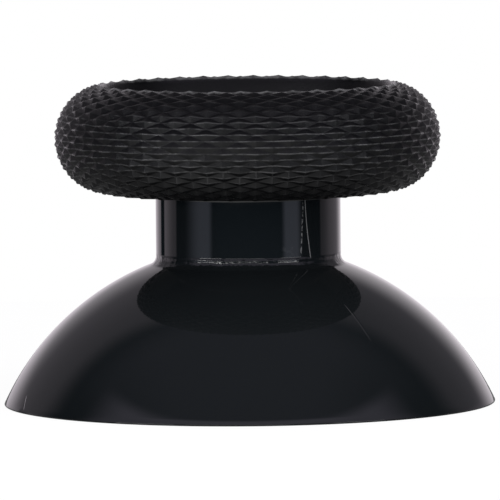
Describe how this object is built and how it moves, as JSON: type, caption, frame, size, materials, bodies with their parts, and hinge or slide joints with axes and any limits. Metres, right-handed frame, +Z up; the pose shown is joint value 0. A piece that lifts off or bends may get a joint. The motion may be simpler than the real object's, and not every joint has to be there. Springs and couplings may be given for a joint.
{
  "type": "thumbstick cap",
  "caption": "Concave thumbstick cap with a knurled soft ring, a short neck and a wide domed skirt over a flatted lever socket.",
  "frame": {"origin": "on the turning axis, in the plane of the rim that the cap stands on", "axes": "+Z up along the turning axis, towards the dish; the socket's flats face +Y and -Y"},
  "size_m": [0.023, 0.023, 0.015],
  "materials": {
    "gloss_plastic": "black, polished to a mirror gloss",
    "soft_grip": "black, satin, with a moulded diamond knurl and a plain dish"
  },
  "bodies": {
    "root": {"stick": "gloss_plastic", "grip": "soft_grip"}
  },
  "joints": []
}
